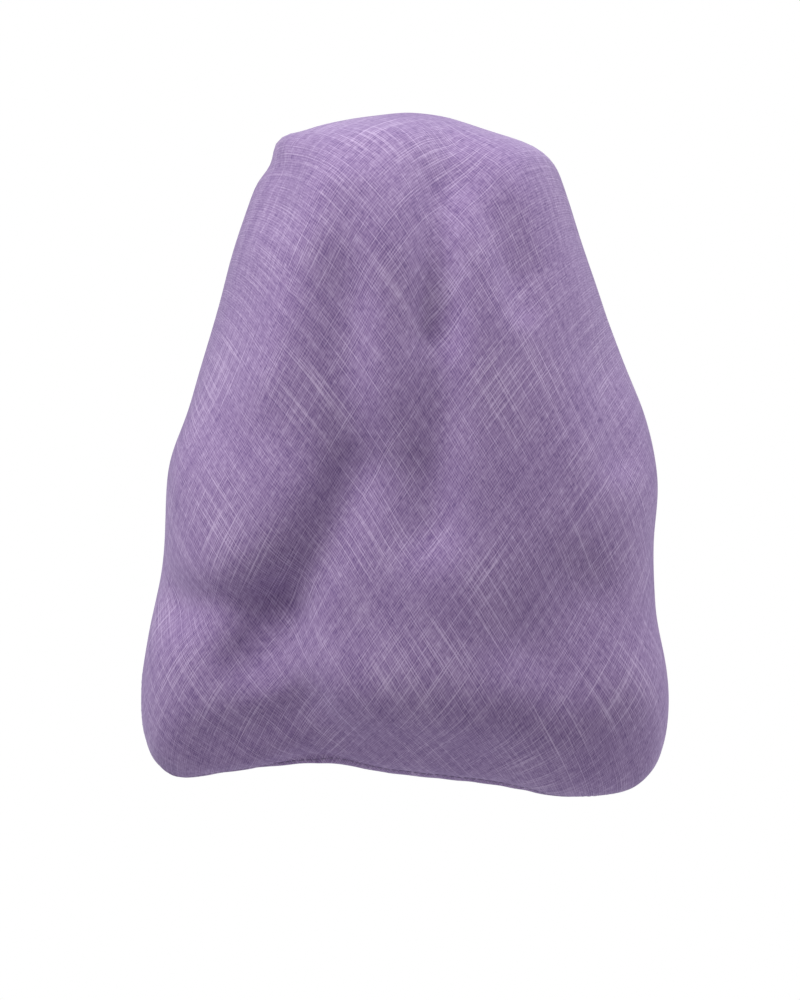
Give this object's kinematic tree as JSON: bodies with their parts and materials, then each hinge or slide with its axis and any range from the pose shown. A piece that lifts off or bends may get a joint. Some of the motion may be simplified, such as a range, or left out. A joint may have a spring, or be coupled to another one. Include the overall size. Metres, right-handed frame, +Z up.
{
  "type": "pre-tied bandana",
  "caption": "Soft pre-tied bandana in its worn form: a light cloth domed over the crown, falling in a broad back drape with a rolled foot, closed by a knotted tie band at the nape.",
  "frame": {"origin": "where the top of the head bears on the inside of the crown", "axes": "+Z up along the wearer's head, -Y out of the back of the head where the drape hangs, +Y towards the face, +X the wearer's right"},
  "size_m": [0.2299, 0.2064, 0.295],
  "materials": {
    "lilac_cloth": "matt lilac plain weave with uneven slub threads, cut on the bias"
  },
  "bodies": {
    "root": {"bandana_cloth": "lilac_cloth", "nape_tie": "lilac_cloth"}
  },
  "joints": []
}
